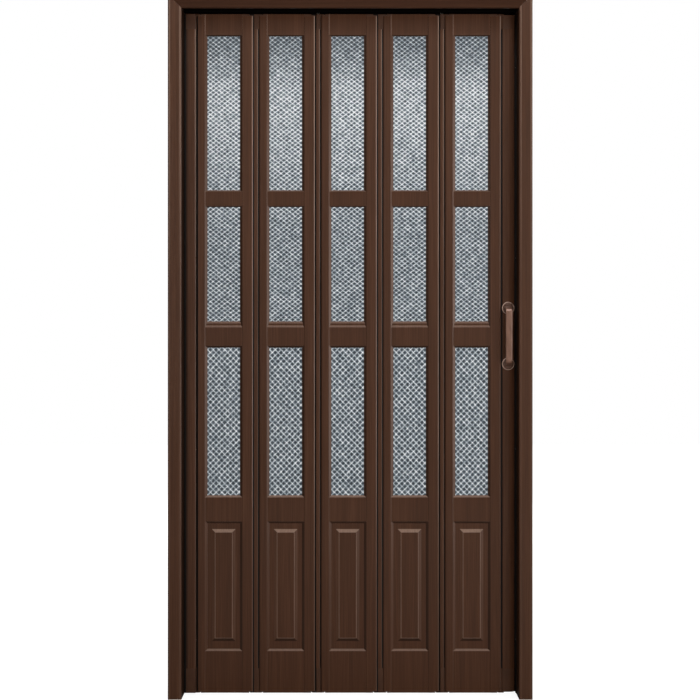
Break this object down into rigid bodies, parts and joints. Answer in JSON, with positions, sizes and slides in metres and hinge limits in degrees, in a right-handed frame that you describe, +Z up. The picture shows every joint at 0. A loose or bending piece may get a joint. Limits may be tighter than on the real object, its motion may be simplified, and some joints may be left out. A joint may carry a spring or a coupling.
{
  "type": "accordion folding door",
  "caption": "Framed interior door whose rigid slats, joined by narrow hinge strips, fold zigzag along a top track; patterned panes, raised panels and a bow handle.",
  "frame": {"origin": "on the floor, under the middle of the frame", "axes": "+X to the right seen from the front, -Y to the front, +Z up"},
  "size_m": [1.075, 0.132, 2.078],
  "materials": {
    "frame_foil": "dark brown wood-grain foil on board, satin",
    "slat_pvc": "foamed PVC extrusion with dark brown wood grain, satin",
    "pane": "silver-grey cast acrylic with a diamond pattern",
    "hinge_plastic": "moulded nylon, dark brown",
    "track": "extruded, dark powder coat",
    "roller": "acetal",
    "handle": "bronze-brown metallic lacquer on zinc casting",
    "magnet": "plastic-bonded magnet strip",
    "steel": "zinc plated"
  },
  "bodies": {
    "frame": {"casing_front_left": "frame_foil", "casing_front_right": "frame_foil", "casing_front_top": "frame_foil", "casing_back_left": "frame_foil", "casing_back_right": "frame_foil", "casing_back_top": "frame_foil", "lining_left": "frame_foil", "lining_right": "frame_foil", "lining_top": "frame_foil", "corner_screws": "steel", "top_track": "track", "wall_profile": "slat_pvc", "frame_screws": "steel", "wall_hinge_links": "hinge_plastic", "strike_profile": "slat_pvc", "stop_strip": "slat_pvc", "strike_magnet": "magnet"},
    "slat_1": {"slat_1_stiles": "slat_pvc", "slat_1_end_caps": "hinge_plastic", "slat_1_rails": "slat_pvc", "slat_1_panes": "pane", "slat_1_raised_panel": "slat_pvc"},
    "slat_2": {"slat_2_stiles": "slat_pvc", "slat_2_end_caps": "hinge_plastic", "slat_2_rails": "slat_pvc", "slat_2_panes": "pane", "slat_2_raised_panel": "slat_pvc"},
    "slat_3": {"slat_3_stiles": "slat_pvc", "slat_3_end_caps": "hinge_plastic", "slat_3_rails": "slat_pvc", "slat_3_panes": "pane", "slat_3_raised_panel": "slat_pvc"},
    "slat_4": {"slat_4_stiles": "slat_pvc", "slat_4_end_caps": "hinge_plastic", "slat_4_rails": "slat_pvc", "slat_4_panes": "pane", "slat_4_raised_panel": "slat_pvc"},
    "slat_5": {"slat_5_stiles": "slat_pvc", "slat_5_end_caps": "hinge_plastic", "slat_5_rails": "slat_pvc", "slat_5_panes": "pane", "slat_5_raised_panel": "slat_pvc"},
    "strip_1": {"hinge_strip_1": "slat_pvc", "hinge_links_1": "hinge_plastic"},
    "strip_2": {"hinge_strip_2": "slat_pvc", "hinge_links_2": "hinge_plastic", "carriage_2": "hinge_plastic"},
    "strip_3": {"hinge_strip_3": "slat_pvc", "hinge_links_3": "hinge_plastic"},
    "strip_4": {"hinge_strip_4": "slat_pvc", "hinge_links_4": "hinge_plastic", "carriage_4": "hinge_plastic"},
    "roller_pair_2": {"rollers_2": "roller"},
    "roller_pair_4": {"rollers_4": "roller"},
    "post": {"lead_post": "slat_pvc", "post_hinge_links": "hinge_plastic", "post_magnet": "magnet", "handle_bow": "handle", "handle_rosettes": "handle", "handle_screws": "steel"}
  },
  "joints": [
    {"name": "fold", "type": "hinge", "parent": "frame", "child": "slat_1", "pos_m": [-0.454, 0, 1], "axis": [0, 0, -1], "range_deg": [0, 84]},
    {"name": "strip_1_turn", "type": "hinge", "parent": "slat_1", "child": "strip_1", "pos_m": [-0.296, 0, 1], "axis": [0, 0, -1], "range_deg": [-84, 0]},
    {"name": "slat_2_turn", "type": "hinge", "parent": "strip_1", "child": "slat_2", "pos_m": [-0.2682, 0, 1], "axis": [0, 0, -1], "range_deg": [-84, 0]},
    {"name": "strip_2_turn", "type": "hinge", "parent": "slat_2", "child": "strip_2", "pos_m": [-0.1102, 0, 1], "axis": [0, 0, -1], "range_deg": [0, 84]},
    {"name": "slat_3_turn", "type": "hinge", "parent": "strip_2", "child": "slat_3", "pos_m": [-0.0824, 0, 1], "axis": [0, 0, -1], "range_deg": [0, 84]},
    {"name": "strip_3_turn", "type": "hinge", "parent": "slat_3", "child": "strip_3", "pos_m": [0.0756, 0, 1], "axis": [0, 0, -1], "range_deg": [-84, 0]},
    {"name": "slat_4_turn", "type": "hinge", "parent": "strip_3", "child": "slat_4", "pos_m": [0.1034, 0, 1], "axis": [0, 0, -1], "range_deg": [-84, 0]},
    {"name": "strip_4_turn", "type": "hinge", "parent": "slat_4", "child": "strip_4", "pos_m": [0.2614, 0, 1], "axis": [0, 0, -1], "range_deg": [0, 84]},
    {"name": "lead_swing", "type": "hinge", "parent": "strip_4", "child": "slat_5", "pos_m": [0.2892, 0, 1], "axis": [0, 0, -1], "range_deg": [0, 84]},
    {"name": "post_turn", "type": "hinge", "parent": "slat_5", "child": "post", "pos_m": [0.4472, 0, 1], "axis": [0, 0, -1], "range_deg": [-84, 0]},
    {"name": "roller_spin_2", "type": "hinge", "parent": "strip_2", "child": "roller_pair_2", "pos_m": [-0.0963, 0, 2.0474], "axis": [0, 1, 0], "continuous": true},
    {"name": "roller_spin_4", "type": "hinge", "parent": "strip_4", "child": "roller_pair_4", "pos_m": [0.2753, 0, 2.0474], "axis": [0, 1, 0], "continuous": true}
  ],
  "couplings": [
    {"joint": "strip_1_turn", "follows": "fold", "ratio": -1},
    {"joint": "slat_2_turn", "follows": "fold", "ratio": -1},
    {"joint": "strip_2_turn", "follows": "fold", "ratio": 1},
    {"joint": "slat_3_turn", "follows": "fold", "ratio": 1},
    {"joint": "strip_3_turn", "follows": "fold", "ratio": -1},
    {"joint": "slat_4_turn", "follows": "fold", "ratio": -1},
    {"joint": "strip_4_turn", "follows": "fold", "ratio": 1},
    {"joint": "post_turn", "follows": "lead_swing", "ratio": -1}
  ]
}
